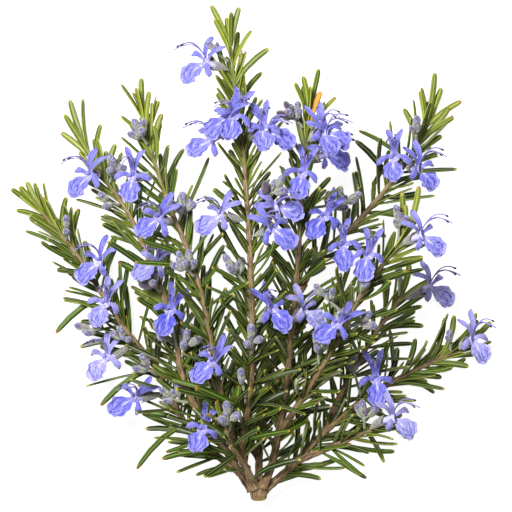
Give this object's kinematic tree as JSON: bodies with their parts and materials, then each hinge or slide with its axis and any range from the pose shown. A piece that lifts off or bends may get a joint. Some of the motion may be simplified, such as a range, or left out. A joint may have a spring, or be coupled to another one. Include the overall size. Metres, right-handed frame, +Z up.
{
  "type": "rosemary bush",
  "caption": "Flowering rosemary bush cut at its woody base and laid on its side: leafy shoots, blue two-lipped flowers and bud sprays fanning from one stump.",
  "frame": {"origin": "middle of the bush's footprint, on the surface that it lies on", "axes": "+Z up from the surface; +Y from the cut end towards the shoot tips; +X across the bush to the right, seen from above with the tips away"},
  "size_m": [0.1502, 0.1466, 0.0534],
  "materials": {
    "bark": "matte",
    "leaf": "satin",
    "petal": "matte",
    "calyx": "matte"
  },
  "bodies": {
    "root": {"woody_crown": "bark", "shoot_top": "leaf", "shoot_right_centre": "leaf", "shoot_low_right": "leaf", "shoot_upper_left": "leaf", "shoot_back_centre": "leaf", "shoot_left_centre": "leaf", "shoot_far_left": "leaf", "shoot_upper_right": "leaf", "shoot_mid_right": "leaf", "shoot_right": "leaf", "spur_low_right": "leaf", "spur_low_left": "leaf", "shoot_back_left": "leaf", "shoot_back_right": "leaf", "flower_01": "petal", "flower_02": "petal", "flower_03": "petal", "flower_04": "petal", "flower_05": "petal", "flower_06": "petal", "flower_07": "petal", "flower_08": "petal", "flower_09": "petal", "flower_10": "petal", "flower_11": "petal", "flower_12": "petal", "flower_13": "petal", "flower_trio_14": "petal", "flower_pair_15": "petal", "flower_pair_16": "petal", "flower_17": "petal", "flower_18": "petal", "flower_19": "petal", "flower_20": "petal", "flower_21": "petal", "flower_22": "petal", "flower_23": "petal", "flower_24": "petal", "flower_25": "petal", "flower_26": "petal", "flower_27": "petal", "flower_28": "petal", "flower_29": "petal", "flower_30": "petal", "flower_31": "petal", "flower_32": "petal", "flower_33": "petal", "bud_spray_01": "calyx", "bud_spray_02": "calyx", "bud_spray_03": "calyx", "bud_spray_04": "calyx", "bud_spray_05": "calyx", "bud_spray_06": "calyx", "bud_spray_07": "calyx", "bud_spray_08": "calyx", "bud_spray_09": "calyx", "bud_spray_10": "calyx", "bud_spray_11": "calyx", "bud_spray_12": "calyx"}
  },
  "joints": []
}
